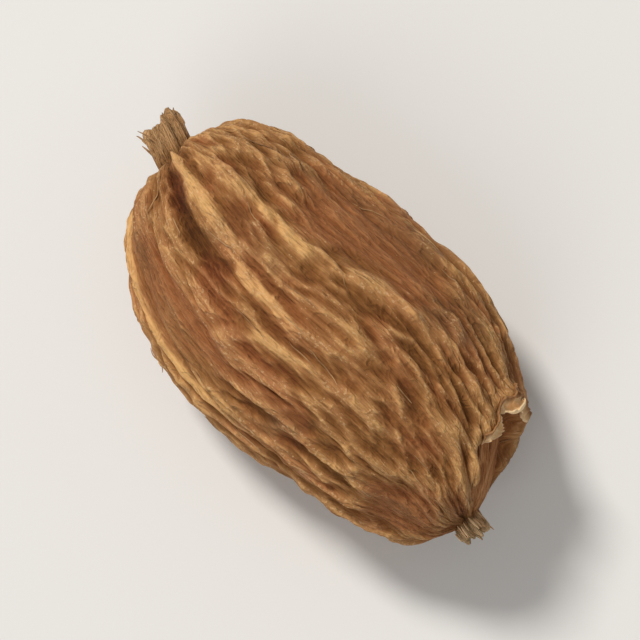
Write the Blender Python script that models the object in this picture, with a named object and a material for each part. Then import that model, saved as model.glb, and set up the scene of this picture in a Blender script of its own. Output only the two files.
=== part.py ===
"""A dried black cardamom pod, lying on its side.

The husk, the stub of its stalk and the torn calyx at its tip grew as one piece, so the pod is one
closed solid. +X runs from the stalk to the tip and +Z is up. The origin is in the surface that the
pod rests on, under the middle of the pod.

Rings of points are laid along the pod's side outline, and the ribs, the raised net, the crest and
the torn patch are then raised from that smooth body by a formula. An angle on the pod is measured
round +X: 0 is the +Y side, and 90 degrees is the top.
"""

from collections import namedtuple
import itertools
import math

import bmesh
import bpy
import numpy as np

MM = 0.001  # all sizes below are millimetres

# A layer of the relief: crests about size apart, longer than wide by stretch. A higher
# narrowness gives narrower crests.
Layer = namedtuple("Layer", "size stretch height narrowness seed")

# A crest that runs lengthwise at one angle, from one place along the pod to another
Crest = namedtuple("Crest", "angle start end width height")

# An oval patch of the skin, by its middle and its reach to each side, along and round the pod
Patch = namedtuple("Patch", "along angle length turn")

# The smooth body
HUSK_LENGTH = 24.7
HUSK_WIDTH = 14.2
HUSK_HEIGHT = 11.9
BASE_FULLNESS = 0.76  # exponents of the two ends' outline: under 1 is fuller than an ellipse
TIP_FULLNESS = 1.0
KEEL_ANGLE = math.radians(97)  # the pod is three-angled, with one blunt angle almost on top
KEEL_RISE = 0.05  # share of the radius by which an angle stands out
SIDE_BEND = 0.5  # how far each half leans to its own side, +Y by the tip
ROUND_UNTIL, FLAT_FROM = 0.2, 0.7  # shares of the thickness where the section turns from round to flat
REST_CUT = 0.55  # depth of the small flat spot under the pod
NECK_BLEND = 2.6  # a lower exponent runs the stub and the calyx more widely into the husk
OUTLINE_STEPS = 600

# The stub of the stalk at the base
STUB_LENGTH = 2.4
STUB_RADIUS = 1.1
STUB_SWAY = 0.8  # how far the stub's end leans to +Y
STUB_SWAY_RUN = 1.0  # how far that lean runs on past both ends of the stub
STUB_HOLLOW = 0.25
STUB_BEVEL = 0.3
STUB_RAGGED = 0.5  # how unevenly the stub is torn off

# The rest of the calyx at the tip, a short ragged tube
CALYX_LENGTH = 1.1
CALYX_RADIUS = 0.75
CALYX_WALL = 0.32
CALYX_DEPTH = 0.9
CALYX_SWAY = -1.2
CALYX_SWAY_START = 0.72  # share of the half length from which the tip leans over
CALYX_RAGGED = 0.6
CALYX_BEVEL = 0.15
TEAR_SIZE, TEAR_SEED = 2.4, 31

# The relief
NOISE_GAIN = 1.6  # brings the noise to about -1 to 1
GRAIN_RADIUS = 7.0  # radius at which the relief's own coordinates are wound
END_SPREAD = 0.8  # how much the blunt ends lengthen those coordinates
RIBS = Layer(size=2.3, stretch=8.0, height=0.50, narrowness=3.2, seed=11)
NET = Layer(size=1.1, stretch=4.6, height=0.34, narrowness=3.4, seed=17)
KNOBS = Layer(size=1.7, stretch=1.2, height=0.36, narrowness=2.2, seed=37)
RIBS_LEAST, RIBS_MORE, NET_LEAST, NET_MORE = 0.8, 0.4, 0.5, 0.6  # how their strength varies
RIBS_FADE = (-0.4, 0.4)  # values of the slow noise between which the ribs gain and the net fades
NET_FADE = (-0.1, 0.5)
WAVE_SIZE, WAVE_STRETCH, WAVE_REACH, WAVE_SEED = 5.0, 1.6, 0.6, 3  # bends the ribs
LUMP_SIZE, LUMP_STRETCH, LUMP_HEIGHT, LUMP_SEED = 9.0, 1.3, 0.26, 29
SHARE_SIZE, SHARE_STRETCH, SHARE_SEED = 6.5, 1.2, 23  # where the ribs or the net are stronger
SMOOTH_CLEARS_RIBS, SMOOTH_CLEARS_NET = 0.6, 0.75
CRESTS = (
    Crest(angle=math.radians(96), start=-19.0, end=-5.5, width=0.45, height=0.75),
    Crest(angle=math.radians(101), start=-4.8, end=-0.8, width=0.42, height=0.4),
    Crest(angle=math.radians(116), start=-1.8, end=1.2, width=0.42, height=0.4),
    Crest(angle=math.radians(77), start=-7.8, end=-2.2, width=0.42, height=0.4),
    Crest(angle=math.radians(171), start=-15.0, end=3.0, width=0.4, height=0.45),
)
VALLEY = Crest(angle=math.radians(108), start=-16.0, end=-4.0, width=0.6, height=-0.5)
CREST_RUN_IN = 0.2  # share of a crest's length over which it rises and falls
CREST_CLEARS = 0.8  # share of the other relief that gives way on a crest
CREST_ALONE = 2.2  # how much wider than the crest that clearing is
PATCH_CORE = 0.45  # share of a patch's reach within which it is at its full strength
SMOOTH_PATCHES = (
    Patch(along=-2.0, angle=math.radians(42), length=7.0, turn=math.radians(32)),
    Patch(along=-6.5, angle=math.radians(148), length=6.5, turn=math.radians(30)),
    Patch(along=12.0, angle=math.radians(145), length=4.0, turn=math.radians(36)),
)
KNOB_PATCH = Patch(along=-10.0, angle=math.radians(50), length=5.0, turn=math.radians(48))
NET_PATCH = Patch(along=6.0, angle=math.radians(92), length=10.5, turn=math.radians(70))

# The patch by the tip where the outer skin has torn away
TORN = Patch(along=15.2, angle=math.radians(36), length=4.6, turn=math.radians(50))
TORN_DEPTH = 0.4
TORN_KEEPS = 0.35  # share of the relief that also shows in the layer under the skin
TORN_EDGE = 0.12  # share of the patch's reach over which the skin ends
TORN_WAVE, TORN_WAVE_SIZE, TORN_SEED = 0.15, 1.4, 31  # how the edge wanders
LIP_HEIGHT, LIP_PLACE, LIP_WIDTH = 0.25, 1.07, 0.1  # the curled edge on its stalk side

# Lengthwise grooves on the stub and on the calyx, where the relief has faded out
GROOVES = 9
GROOVE_DEPTH = 0.13
FADE_START, FADE_END = 1.2, 4.0  # radii of the body between which the relief sets in

# The mesh
AROUND = 122
ROWS = 50
HUSK_COLOUR = (0.275, 0.122, 0.045, 1.0)
HUSK_ROUGHNESS = 0.78


def corner_gradients(corners, seed):
    """A unit vector for each whole-numbered lattice corner, always the same for one seed."""
    mixed = corners @ np.array([73856093, 19349663, 83492791], np.int64) + seed * 2654435761
    mixed = (mixed ^ (mixed >> 15)) * 2246822519
    mixed = (mixed ^ (mixed >> 13)) * 3266489917
    mixed = mixed ^ (mixed >> 16)
    height = (mixed & 0xFFFF) / 0x7FFF - 1.0
    turn = ((mixed >> 20) & 0xFFFF) / 0xFFFF * math.tau
    flat = np.sqrt(np.clip(1.0 - height**2, 0.0, 1.0))
    return np.stack([flat * np.cos(turn), flat * np.sin(turn), height], axis=-1)


def smooth_noise(places, seed):
    """Gradient noise, about -1 to 1, that changes over one unit of the places' coordinates."""
    cell = np.floor(places).astype(np.int64)
    inside = places - cell
    ease = inside**3 * (inside * (inside * 6 - 15) + 10)
    total = np.zeros(places.shape[:-1])
    for corner in itertools.product((0, 1), repeat=3):
        slope = ((inside - corner) * corner_gradients(cell + np.array(corner), seed)).sum(axis=-1)
        total += np.where(corner, ease, 1 - ease).prod(axis=-1) * slope
    return total * NOISE_GAIN


def smooth_step(low, high, value):
    share = np.clip((value - low) / (high - low), 0.0, 1.0)
    return share * share * (3 - 2 * share)


def turn_between(angle, other):
    """The turn from one angle to another, the short way round."""
    return (angle - other + math.pi) % math.tau - math.pi


def wound(angle, along, size, stretch):
    """Coordinates that wrap round the pod with no seam, with cells stretched along it."""
    places = [along / stretch, GRAIN_RADIUS * np.cos(angle), GRAIN_RADIUS * np.sin(angle)]
    return np.stack(places, axis=-1) / size


def raised(layer, angle, along):
    """The height of one layer: crests where its noise crosses zero, with hollows between."""
    noise = smooth_noise(wound(angle, along, layer.size, layer.stretch), layer.seed)
    return layer.height / (1 + (layer.narrowness * noise) ** 2)


def crest_share(crest, angle, along, spread=1.0):
    """1 on the line of a crest, falling to 0 beside it and past its ends."""
    across = turn_between(angle, crest.angle) * GRAIN_RADIUS / (crest.width * spread)
    run_in = CREST_RUN_IN * (crest.end - crest.start)
    fade_in = smooth_step(crest.start - run_in, crest.start + run_in, along)
    fade_out = 1 - smooth_step(crest.end - 2 * run_in, crest.end + run_in, along)
    return np.exp(-(across**2)) * fade_in * fade_out


def patch_reach(patch, angle, along):
    """0 in the middle of a patch, 1 at its edge, and more outside it."""
    turn = turn_between(angle, patch.angle) / patch.turn
    return np.hypot((along - patch.along) / patch.length, turn)


def patch_share(patch, angle, along):
    return 1 - smooth_step(PATCH_CORE, 1.0, patch_reach(patch, angle, along))


def torn_shares(angle, along):
    """The share of the torn patch, and of the curled lip just outside its edge."""
    wander = smooth_noise(wound(angle, along, TORN_WAVE_SIZE, 1.0), TORN_SEED)
    reach = patch_reach(TORN, angle, along) + TORN_WAVE * wander
    stalk_side = smooth_step(0.0, TORN.length, TORN.along - along)
    lip = np.exp(-(((reach - LIP_PLACE) / LIP_WIDTH) ** 2)) * stalk_side
    return 1 - smooth_step(1 - TORN_EDGE, 1.0, reach), lip


def relief(angle, along):
    """How far the skin stands out from the smooth body, in millimetres."""
    wave = smooth_noise(wound(angle, along, WAVE_SIZE, WAVE_STRETCH), WAVE_SEED)
    bent = angle + WAVE_REACH * wave / GRAIN_RADIUS
    lump = smooth_noise(wound(angle, along, LUMP_SIZE, LUMP_STRETCH), LUMP_SEED)
    share = smooth_noise(wound(angle, along, SHARE_SIZE, SHARE_STRETCH), SHARE_SEED)
    smooth = sum(patch_share(patch, angle, along) for patch in SMOOTH_PATCHES)
    knobby = patch_share(KNOB_PATCH, angle, along)
    netted = np.maximum(patch_share(NET_PATCH, angle, along), smooth_step(*NET_FADE, -share))
    rib_share = RIBS_LEAST + RIBS_MORE * smooth_step(*RIBS_FADE, share)
    rib_share *= 1 - SMOOTH_CLEARS_RIBS * smooth
    net_share = (NET_LEAST + NET_MORE * netted) * (1 - SMOOTH_CLEARS_NET * smooth) * (1 - knobby)
    height = LUMP_HEIGHT * lump + rib_share * raised(RIBS, bent, along)
    height += net_share * raised(NET, 2 * bent - angle, along)
    height += knobby * raised(KNOBS, bent, along)
    for crest in (VALLEY, *CRESTS):
        height = height * (1 - CREST_CLEARS * crest_share(crest, bent, along, CREST_ALONE))
        height += crest.height * crest_share(crest, bent, along)
    torn, lip = torn_shares(angle, along)
    under_skin = TORN_KEEPS * height - TORN_DEPTH
    return height * (1 - torn) + under_skin * torn + LIP_HEIGHT * lip * (1 - torn)


def side_outline(rows):
    """Rows of (x, radius, sway, end), evenly spaced from the stub's cut end to the hollow tip.

    The last column is how far the row lies into the stub, below 0, or into the calyx, above 0.
    """
    half = HUSK_LENGTH / 2
    theta = np.linspace(0, math.pi, OUTLINE_STEPS)
    share = (1 - np.cos(theta)) / 2
    fullness = BASE_FULLNESS + (TIP_FULLNESS - BASE_FULLNESS) * share
    husk = HUSK_WIDTH / 2 * np.sin(theta) ** fullness
    neck = STUB_RADIUS + (CALYX_RADIUS - STUB_RADIUS) * share
    radius = (husk**NECK_BLEND + neck**NECK_BLEND) ** (1 / NECK_BLEND)
    body = np.stack([-half * np.cos(theta), radius], axis=1)
    stub_end = -half - STUB_LENGTH
    stub = [(stub_end + STUB_HOLLOW, 0.0), (stub_end, STUB_RADIUS - STUB_BEVEL / 2),
            (stub_end + STUB_BEVEL, STUB_RADIUS)]
    tip = half + CALYX_LENGTH
    inner = CALYX_RADIUS - CALYX_WALL
    floor = tip - CALYX_DEPTH
    calyx = [(tip - CALYX_BEVEL, CALYX_RADIUS), (tip, CALYX_RADIUS - CALYX_WALL / 2),
             (tip - CALYX_BEVEL, inner), (floor, inner - CALYX_BEVEL), (floor, 0.0)]
    points = np.concatenate([stub, body, calyx])
    length = np.concatenate([[0], np.cumsum(np.hypot(*np.diff(points, axis=0).T))])
    x, radius = (np.interp(np.linspace(0, length[-1], rows), length, column) for column in points.T)
    end = np.where(x < 0, -smooth_step(-half, stub_end, x), smooth_step(half, tip, x))
    sway = STUB_SWAY * smooth_step(STUB_SWAY_RUN - half, stub_end - STUB_SWAY_RUN, x)
    sway += CALYX_SWAY * smooth_step(half * CALYX_SWAY_START, tip, x)
    return np.stack([x, radius, sway, end], axis=1)


def smooth_body(outline, angle):
    """The points of the body with no relief, one row for each ring."""
    x, radius, sway = (outline[:, k, None] for k in range(3))
    thickness = radius / (HUSK_WIDTH / 2)
    keels = 1 + KEEL_RISE * thickness * np.cos(3 * (angle - KEEL_ANGLE))
    flatness = 1 + (HUSK_HEIGHT / HUSK_WIDTH - 1) * smooth_step(ROUND_UNTIL, FLAT_FROM, thickness)
    bend = SIDE_BEND * np.sin(math.tau * x / HUSK_LENGTH) * thickness
    across = radius * keels * np.cos(angle) + sway + bend
    up = radius * keels * flatness * np.sin(angle)
    return np.stack(np.broadcast_arrays(x, across, up), axis=-1)


def outward(points):
    """Unit normals of a grid of points whose second axis closes on itself."""
    lengthwise = np.gradient(points, axis=0)
    round_it = np.roll(points, -1, axis=1) - np.roll(points, 1, axis=1)
    normal = np.cross(round_it, lengthwise)
    return normal / np.maximum(np.linalg.norm(normal, axis=-1, keepdims=True), 1e-9)


def pod_points(rows, around):
    """All rings of the finished skin, in millimetres, before the pod is set on its rest."""
    outline = side_outline(rows)
    x, radius, _, end = (outline[:, k, None] for k in range(4))
    angle = np.linspace(0, math.tau, around, endpoint=False)[None, :]
    smooth = smooth_body(outline, angle)
    along = x + END_SPREAD * (HUSK_WIDTH / 2 - radius) * np.sign(x) + 0 * angle
    angle = angle + 0 * along
    fade = smooth_step(FADE_START, FADE_END, radius)
    groove = GROOVE_DEPTH * np.cos(GROOVES * angle) * smooth_step(0.0, STUB_RADIUS, radius)
    height = relief(angle, along) * fade + groove * (1 - fade)
    skin = smooth + outward(smooth) * height[..., None]
    at_ends = np.sign(x) * HUSK_LENGTH + 0 * angle
    tears = smooth_noise(wound(angle, at_ends, TEAR_SIZE, 1.0), TEAR_SEED)
    ragged = np.where(end < 0, STUB_RAGGED, CALYX_RAGGED) * smooth_step(0.0, STUB_RADIUS, radius)
    skin[..., 0] += ragged * tears * np.abs(end)
    return skin


def set_on_rest(points):
    """Flattens the small spot that the pod rests on, and puts the origin under its middle."""
    lowest = points[..., 2].min()
    points[..., 2] = np.maximum(points[..., 2], lowest + REST_CUT)
    flat = points.reshape(-1, 3)
    low, high = flat.min(axis=0), flat.max(axis=0)
    return points - np.array([(low[0] + high[0]) / 2, (low[1] + high[1]) / 2, low[2]])


def build_mesh(rings):
    """A closed mesh: a fan at each end, and quads between the rings."""
    work = bmesh.new()
    poles = [work.verts.new(rings[end, 0] * MM) for end in (0, -1)]
    loops = [[work.verts.new(point * MM) for point in ring] for ring in rings[1:-1]]
    for near, far in zip(loops, loops[1:]):
        for j in range(AROUND):
            k = (j + 1) % AROUND
            work.faces.new((near[j], near[k], far[k], far[j]))
    for j in range(AROUND):
        k = (j + 1) % AROUND
        work.faces.new((poles[0], loops[0][k], loops[0][j]))
        work.faces.new((poles[1], loops[-1][j], loops[-1][k]))
    bmesh.ops.recalc_face_normals(work, faces=work.faces)
    mesh = bpy.data.meshes.new("pod")
    work.to_mesh(mesh)
    work.free()
    return mesh


def husk_material():
    material = bpy.data.materials.new("husk")
    material.use_nodes = True
    shader = material.node_tree.nodes["Principled BSDF"]
    shader.inputs["Base Color"].default_value = HUSK_COLOUR
    shader.inputs["Roughness"].default_value = HUSK_ROUGHNESS
    shader.inputs["Metallic"].default_value = 0.0
    return material


def main():
    for obj in list(bpy.data.objects):
        bpy.data.objects.remove(obj)
    mesh = build_mesh(set_on_rest(pod_points(ROWS, AROUND)))
    mesh.shade_smooth()
    mesh.materials.append(husk_material())
    pod = bpy.data.objects.new("pod", mesh)
    bpy.context.scene.collection.objects.link(pod)


main()
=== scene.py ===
"""The look of a dried black cardamom pod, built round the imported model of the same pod.

The husk repeats the model's own formula on a much finer grid, and adds the small wrinkles that
the model leaves out. The curled flap of torn skin, and the fibres of the husk, the stub and the
calyx, are pieces of their own.
"""

from collections import namedtuple
import itertools
import math
import random

import bpy
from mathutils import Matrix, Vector
import numpy as np


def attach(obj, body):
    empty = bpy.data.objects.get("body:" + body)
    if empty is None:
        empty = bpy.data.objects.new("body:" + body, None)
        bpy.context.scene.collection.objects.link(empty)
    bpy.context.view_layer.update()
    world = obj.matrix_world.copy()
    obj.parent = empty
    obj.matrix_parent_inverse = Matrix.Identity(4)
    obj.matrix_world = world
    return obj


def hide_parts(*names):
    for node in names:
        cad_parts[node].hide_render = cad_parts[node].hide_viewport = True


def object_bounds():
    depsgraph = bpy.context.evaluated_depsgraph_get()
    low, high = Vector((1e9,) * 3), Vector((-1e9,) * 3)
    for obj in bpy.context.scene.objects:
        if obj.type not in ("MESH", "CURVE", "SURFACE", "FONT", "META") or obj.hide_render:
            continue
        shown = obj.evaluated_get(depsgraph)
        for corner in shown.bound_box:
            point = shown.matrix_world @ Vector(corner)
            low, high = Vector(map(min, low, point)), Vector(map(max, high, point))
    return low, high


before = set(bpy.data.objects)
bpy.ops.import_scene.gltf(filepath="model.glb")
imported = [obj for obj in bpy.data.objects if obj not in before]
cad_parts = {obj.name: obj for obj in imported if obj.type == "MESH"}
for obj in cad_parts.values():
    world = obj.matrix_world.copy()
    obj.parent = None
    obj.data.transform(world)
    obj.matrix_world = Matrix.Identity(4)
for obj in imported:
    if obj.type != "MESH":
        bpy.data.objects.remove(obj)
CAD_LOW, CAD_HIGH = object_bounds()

MM = 0.001  # sizes are in millimetres, apart from the floor's, the lamps' and the camera's

# A layer of the relief: crests about size apart, longer than wide by stretch. A higher
# narrowness gives narrower crests.
Layer = namedtuple("Layer", "size stretch height narrowness seed")

# A crest that runs lengthwise at one angle, from one place along the pod to another
Crest = namedtuple("Crest", "angle start end width height")

# An oval patch of the skin, by its middle and its reach to each side, along and round the pod
Patch = namedtuple("Patch", "along angle length turn")

# A noise in a material: a lower along draws it out along the pod, and a higher scale is finer
Pattern = namedtuple("Pattern", "along scale detail roughness distortion")

# How the relief's noise scatters its lattice corners, and what keeps a division by zero away
HASH_FACTORS, HASH_SEED_FACTOR = (73856093, 19349663, 83492791), 2654435761
HASH_ROUNDS, HASH_LAST_SHIFT = ((15, 2246822519), (13, 3266489917)), 16
HASH_BITS, HASH_TURN_SHIFT = 0xFFFF, 20
TINY = 1e-9

# The smooth body
HUSK_LENGTH = 24.7
HUSK_WIDTH = 14.2
HUSK_HEIGHT = 11.9
BASE_FULLNESS = 0.76  # exponents of the two ends' outline: under 1 is fuller than an ellipse
TIP_FULLNESS = 1.0
KEEL_COUNT, KEEL_ANGLE = 3, math.radians(97)  # blunt angles, with one of them almost on top
KEEL_RISE = 0.05  # share of the radius by which an angle stands out
SIDE_BEND = 0.5  # how far each half leans to its own side, +Y by the tip
ROUND_UNTIL, FLAT_FROM = 0.2, 0.7  # shares of the thickness where the section turns from round to flat
REST_CUT = 0.55  # depth of the small flat spot under the pod
NECK_BLEND = 2.6  # a lower exponent runs the stub and the calyx more widely into the husk
OUTLINE_STEPS = 600

# The stub of the stalk at the base
STUB_LENGTH = 2.4
STUB_RADIUS = 1.1
STUB_SWAY = 0.8  # how far the stub's end leans to +Y
STUB_SWAY_RUN = 1.0  # how far that lean runs on past both ends of the stub
STUB_HOLLOW = 0.25
STUB_BEVEL = 0.3
STUB_RAGGED = 0.5  # how unevenly the stub is torn off

# The rest of the calyx at the tip, a short ragged tube
CALYX_LENGTH = 1.1
CALYX_RADIUS = 0.75
CALYX_WALL = 0.32
CALYX_DEPTH = 0.9
CALYX_SWAY = -1.2
CALYX_SWAY_START = 0.72  # share of the half length from which the tip leans over
CALYX_RAGGED = 0.6
CALYX_BEVEL = 0.15
TEAR_SIZE, TEAR_SEED = 2.4, 31

# The relief
NOISE_GAIN = 1.6  # brings the noise to about -1 to 1
GRAIN_RADIUS = 7.0  # radius at which the relief's own coordinates are wound
END_SPREAD = 0.8  # how much the blunt ends lengthen those coordinates
RIBS = Layer(size=2.3, stretch=8.0, height=0.50, narrowness=3.2, seed=11)
NET = Layer(size=1.1, stretch=4.6, height=0.34, narrowness=3.4, seed=17)
KNOBS = Layer(size=1.7, stretch=1.2, height=0.36, narrowness=2.2, seed=37)
RIBS_LEAST, RIBS_MORE, NET_LEAST, NET_MORE = 0.8, 0.4, 0.5, 0.6  # how their strength varies
RIBS_FADE = (-0.4, 0.4)  # values of the slow noise between which the ribs gain and the net fades
NET_FADE = (-0.1, 0.5)
WAVE_SIZE, WAVE_STRETCH, WAVE_REACH, WAVE_SEED = 5.0, 1.6, 0.6, 3  # bends the ribs
LUMP_SIZE, LUMP_STRETCH, LUMP_HEIGHT, LUMP_SEED = 9.0, 1.3, 0.26, 29
SHARE_SIZE, SHARE_STRETCH, SHARE_SEED = 6.5, 1.2, 23  # where the ribs or the net are stronger
SMOOTH_CLEARS_RIBS, SMOOTH_CLEARS_NET = 0.6, 0.75
CRESTS = (
    Crest(angle=math.radians(96), start=-19.0, end=-5.5, width=0.45, height=0.75),
    Crest(angle=math.radians(101), start=-4.8, end=-0.8, width=0.42, height=0.4),
    Crest(angle=math.radians(116), start=-1.8, end=1.2, width=0.42, height=0.4),
    Crest(angle=math.radians(77), start=-7.8, end=-2.2, width=0.42, height=0.4),
    Crest(angle=math.radians(171), start=-15.0, end=3.0, width=0.4, height=0.45),
)
VALLEY = Crest(angle=math.radians(108), start=-16.0, end=-4.0, width=0.6, height=-0.5)
CREST_RUN_IN = 0.2  # share of a crest's length over which it rises and falls
CREST_CLEARS = 0.8  # share of the other relief that gives way on a crest
CREST_ALONE = 2.2  # how much wider than the crest that clearing is
PATCH_CORE = 0.45  # share of a patch's reach within which it is at its full strength
SMOOTH_PATCHES = (
    Patch(along=-2.0, angle=math.radians(42), length=7.0, turn=math.radians(32)),
    Patch(along=-6.5, angle=math.radians(148), length=6.5, turn=math.radians(30)),
    Patch(along=12.0, angle=math.radians(145), length=4.0, turn=math.radians(36)),
)
KNOB_PATCH = Patch(along=-10.0, angle=math.radians(50), length=5.0, turn=math.radians(48))
NET_PATCH = Patch(along=6.0, angle=math.radians(92), length=10.5, turn=math.radians(70))

# The patch by the tip where the outer skin has torn away
TORN = Patch(along=15.2, angle=math.radians(36), length=4.6, turn=math.radians(50))
TORN_DEPTH = 0.4
TORN_KEEPS = 0.35  # share of the relief that also shows in the layer under the skin
TORN_EDGE = 0.12  # share of the patch's reach over which the skin ends
TORN_WAVE, TORN_WAVE_SIZE, TORN_SEED = 0.15, 1.4, 31  # how the edge wanders
LIP_HEIGHT, LIP_PLACE, LIP_WIDTH = 0.25, 1.07, 0.1  # the curled edge on its stalk side

# Lengthwise grooves on the stub and on the calyx, where the relief has faded out
GROOVES = 9
GROOVE_DEPTH = 0.13
FADE_START, FADE_END = 1.2, 4.0  # radii of the body between which the relief sets in

# The model's own grid, and the finer one of the husk here
MODEL_ROWS, MODEL_AROUND = 50, 122
FINE_ROWS, FINE_AROUND = 236, 416

# The small relief that only this script adds
WRINKLES = Layer(size=0.75, stretch=4.0, height=0.20, narrowness=4.0, seed=59)
CRINKLES = Layer(size=0.40, stretch=4.0, height=0.10, narrowness=3.4, seed=67)
CRACKS = Layer(size=1.6, stretch=4.5, height=-0.20, narrowness=7.0, seed=83)
STRANDS = Layer(size=0.26, stretch=16.0, height=0.06, narrowness=2.6, seed=61)
SEEDS = Layer(size=1.9, stretch=1.3, height=0.22, narrowness=2.0, seed=101)  # under the inner layer
RIPPLE_SIZE, RIPPLE_STRETCH, RIPPLE_REACH, RIPPLE_SEED = 1.9, 1.4, 0.4, 53

# The shares of each small layer that a smooth patch and the torn patch take away
FINE_LAYERS = ((WRINKLES, 0.6, 0.9), (CRINKLES, 0.4, 0.8), (CRACKS, 0.5, 0.8), (STRANDS, 0.0, 0.7))
FINE_ON_STALK = 0.3  # share of the small relief on the stub and the calyx

# The curled flap of skin along the torn patch's edge
FLAP_START, FLAP_END = math.radians(-3), math.radians(70)
FLAP_COLUMNS, FLAP_STEPS = 260, 28
FLAP_EDGE_EASES, FLAP_ROOT_EASES, FLAP_AHEAD_EASES = 12, 6, 20  # rounds that calm its base
FLAP_AHEAD_ROWS = 3  # rows to each side of the edge that give the way over the torn patch
FLAP_FLAT = 0.25  # share of its width that lies on the skin
FLAP_ROOT = 0.5  # how far it lies back on the skin
FLAP_ENDS = (0.01, 0.99)  # shares of a half turn: its width follows their sine's root
FLAP_CURL = 0.34  # radius of the curl
FLAP_CURL_AT_ENDS = 0.4  # share of that radius at the flap's two ends
FLAP_CURL_VARIES, FLAP_CURL_SHIFT = 0.35, 28  # how uneven the radius is, and by how many columns
FLAP_TIGHTENS = 0.3  # share of the radius that is lost towards the free edge
FLAP_TURN = math.radians(225)
FLAP_THICKNESS, FLAP_THINS = 0.10, 0.65  # and the share of it that is lost at the free edge
FLAP_RAGGED, FLAP_TEAR_SIZE, FLAP_SEED = 0.5, 1.6, 71
FLAP_TORN_OFF, FLAP_LEAST = 0.4, 0.2  # how much is torn off overall, and the least share left
FLAP_TEETH, FLAP_TOOTH_SIZE, FLAP_TOOTH_SEED = 0.30, 0.22, 89  # the small teeth of its free edge
FLAP_CRUMPLE, FLAP_CRUMPLE_SIZE, FLAP_CRUMPLE_SEED = 0.12, 1.9, 97
FLAP_CRUMPLE_RUN, FLAP_GRAIN_RUN = 1.5, 1.36  # lengths of the folds' and the grain's way across it

# Loose fibres on the husk, and those that stand out of the stub and the calyx
FIBRE_COUNT = 64
FIBRE_LENGTH = (0.8, 2.6)
FIBRE_RADIUS = (0.02, 0.04)
FIBRE_LIFT, FIBRE_LIFT_POWER = (0.03, 0.4), 3
FIBRE_STEPS, FIBRE_EASES = 14, 2
FIBRE_SIDES = 5
FIBRE_TAPER = 0.12  # square of the share of its radius that a fibre keeps at its two ends
FIBRE_ASIDE = (0.31, 0.17, 0.93)  # a direction that no fibre runs along
FIBRE_DRIFT = 0.1
FIBRE_CLEAR = 0.015  # how far a loose fibre stays off the skin
FIBRE_CREST, FIBRE_CREST_CELLS = 0.06, 6  # how far a crest stands out where a fibre starts
FIBRE_LOWEST = 1.5
FIBRE_ENDS = 20  # rows next to the husk's ends where no loose fibre starts
POLE_ROWS = 2  # rows at the husk's two ends that no fibre touches
SPLAY_COUNT = 18
SPLAY_LENGTH = (0.5, 1.2)
SPLAY_RADIUS = (0.04, 0.09)
SPLAY_SPREAD, SPLAY_BEND = (0.05, 0.45), 0.25
SPLAY_STEPS, SPLAY_ROOT = 8, 0.35  # the share of its length that lies in the stub or the calyx
CALYX_SPLAY = 0.35  # how far the calyx's fibres stand out, as a share of the stub's
CALYX_FROM, CALYX_PARTS = 0.05, 3  # where its rows start, and the first of 3 parts is its outside
STUB_FROM, STUB_PARTS = -0.5, 2  # where its rows end, and the second of 2 parts is its outside
PIECE_SEED = 7

# How the husk's colour and the flap follow the skin
# The crests' values make the colour paler on the crests, partly worn paler fibre, and darker in the
# hollows as painted shade.
CREST_CELLS = ((4, 0.09), (11, 0.22))  # reach in cells of the fine grid, and height in millimetres
CREST_GAIN = 0.6
SMOOTH_CALMS = 0.45  # share of the contrast between crests and hollows that a smooth patch loses
# RIM_SPREAD widens the rim's painted highlight, and VALLEY_SHADE sets how dark the valley's painted
# shade is.
RIM_SPREAD, VALLEY_SHADE = 1.6, 0.7  # how wide the rim is coloured, and how dark the valley is
NORMAL_CELLS = 3
BLUR_REACH = 2  # how far a blur looks to each side, in its own widths
CELL = 0.1  # about the width of a cell of the fine grid

# The noises of the husk's colour and bump
HUSK_PATTERNS = {
    "broad": Pattern(along=0.22, scale=1.7, detail=3.0, roughness=0.5, distortion=0.3),
    "strands": Pattern(along=0.11, scale=5.2, detail=5.0, roughness=0.62, distortion=0.15),
    "hairs": Pattern(along=0.05, scale=13.0, detail=3.0, roughness=0.6, distortion=0.1),
    "specks": Pattern(along=0.5, scale=6.0, detail=3.0, roughness=0.65, distortion=0.0),
    "patches": Pattern(along=0.45, scale=0.30, detail=4.0, roughness=0.55, distortion=0.6),
    "smudges": Pattern(along=0.55, scale=0.24, detail=4.0, roughness=0.6, distortion=0.4),
    "mottle": Pattern(along=0.7, scale=0.9, detail=4.0, roughness=0.6, distortion=0.5),
    "dust": Pattern(along=0.6, scale=9.0, detail=2.0, roughness=0.6, distortion=0.0),
}
HUSK_VALUES = ("crest", "torn", "smooth", "line", "end", "tip")  # what the mesh says of each point

# The fine net of veins: how far its meshes are drawn out, and how fine they are
VEINS = {"veins": (0.26, 1.25), "small_veins": (0.22, 2.6)}
VEIN_WIDTH = 0.14
VEIN_BEND = Pattern(along=0.5, scale=1.1, detail=2.0, roughness=0.5, distortion=0.0)
VEIN_BEND_REACH = 1.2

# The share of each noise or value in a sum
NET_SHARES = {"veins": 0.65, "small_veins": 0.35}
# The crest and line shares make the level paler on the crests and the rim, partly worn paler fibre and
# partly painted highlight, and darker in the hollows and the valley as painted shade; the crest share in
# INNER_SHARES paints faint shade in the torn layer's hollows the same way.
LEVEL_SHARES = {"net": 0.14, "crest": 0.44, "line": 0.33, "broad": 0.28, "strands": 0.50, "specks": 0.2}
RED_SHARES = {"patches": 1.0, "smooth": 0.12}
INNER_SHARES = {"crest": 0.15, "strands": 0.35, "mottle": 0.55}
DUST_SHARES = {"dust": 1.0, "crest": 0.22}
FINE_BUMP_SHARES = {"hairs": 1.0, "specks": 0.8}
FLAP_SHARES = {"fibres": 0.6, "blotches": 0.6, "reach": 0.15}

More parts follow.
